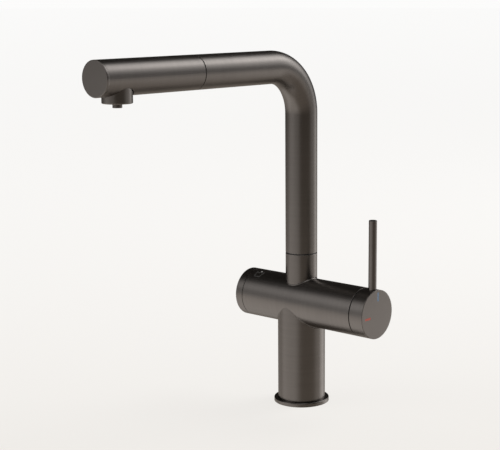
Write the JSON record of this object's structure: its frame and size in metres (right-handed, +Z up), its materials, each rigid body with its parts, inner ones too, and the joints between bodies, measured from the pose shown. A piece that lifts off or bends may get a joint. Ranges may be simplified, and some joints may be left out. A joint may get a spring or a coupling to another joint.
{
  "type": "filter kitchen mixer tap",
  "caption": "Tall kitchen mixer with a swivel spout, pull-out spray, side lever for mixed water and an end knob for filtered water.",
  "frame": {"origin": "centre of the base ring's lower face, on the deck", "axes": "+Z up along the column; the spout at rest points along -Y; +X along the crossbar to the lever"},
  "size_m": [0.1644, 0.2947, 0.4135],
  "materials": {
    "gunmetal": "brushed dark bronze coating over brass and steel",
    "brass": "machined",
    "steel": "turned",
    "rubber": "moulded",
    "white_pom": "moulded acetal",
    "black_pom": "moulded acetal",
    "ceramic": "lapped",
    "hose": "braided nylon over a twin bore",
    "cold_enamel": "enamel fill",
    "hot_enamel": "enamel fill"
  },
  "bodies": {
    "body": {"body_casting": "gunmetal", "base_ring": "gunmetal", "base_seal": "rubber", "inlet_block": "brass", "riser_pipes": "brass", "mounting_shank": "steel", "rubber_washer": "rubber", "clamp_washer": "steel", "shank_nut": "brass", "clamp_screws": "steel", "cartridge_base": "black_pom", "cartridge_seals": "rubber", "cartridge_fixed_disc": "ceramic", "cartridge_housing": "white_pom", "cartridge_nut": "brass", "mixer_glide_ring": "black_pom", "filter_valve_body": "brass", "filter_valve_seal": "rubber", "filter_fixed_disc": "ceramic", "filter_glide_ring": "black_pom", "swivel_post": "brass", "swivel_o_rings": "rubber", "swivel_glide_ring": "black_pom", "hose_body_run": "hose"},
    "mixer_handle": {"mixer_cap": "gunmetal", "lever_rod": "gunmetal", "cap_grub_screw": "steel", "cartridge_spindle": "brass", "cartridge_moving_disc": "ceramic", "cold_mark": "cold_enamel", "hot_mark": "hot_enamel"},
    "filter_handle": {"filter_knob": "gunmetal", "knob_grub_screw": "steel", "filter_spindle": "brass", "filter_moving_disc": "ceramic"},
    "spout": {"spout_tube": "gunmetal", "swivel_bush": "white_pom", "spout_stop_screw": "steel", "dock_sleeve": "black_pom", "hose_spout_run": "hose"},
    "spray": {"spray_shell": "gunmetal", "spray_end_cap": "gunmetal", "spray_core": "white_pom", "dock_o_ring": "rubber", "check_valve": "white_pom", "hose_connector": "brass", "hose_tail": "hose", "aerator_housing": "gunmetal", "aerator_insert": "black_pom", "aerator_seal": "rubber", "filter_nozzle": "gunmetal"}
  },
  "joints": [
    {"name": "spout_swivel", "type": "hinge", "parent": "body", "child": "spout", "pos_m": [0, 0, 0.155], "axis": [0, 0, 1], "range_deg": [-75, 75]},
    {"name": "spray_pull", "type": "slide", "parent": "spout", "child": "spray", "axis": [0, -1, 0], "range_m": [0, 0.09]},
    {"name": "mixer_turn", "type": "hinge", "parent": "body", "child": "mixer_handle", "pos_m": [0.0885, 0, 0.105], "axis": [1, 0, 0], "range_deg": [0, 90]},
    {"name": "filter_turn", "type": "hinge", "parent": "body", "child": "filter_handle", "pos_m": [-0.064, 0, 0.105], "axis": [1, 0, 0], "range_deg": [0, 90]}
  ]
}
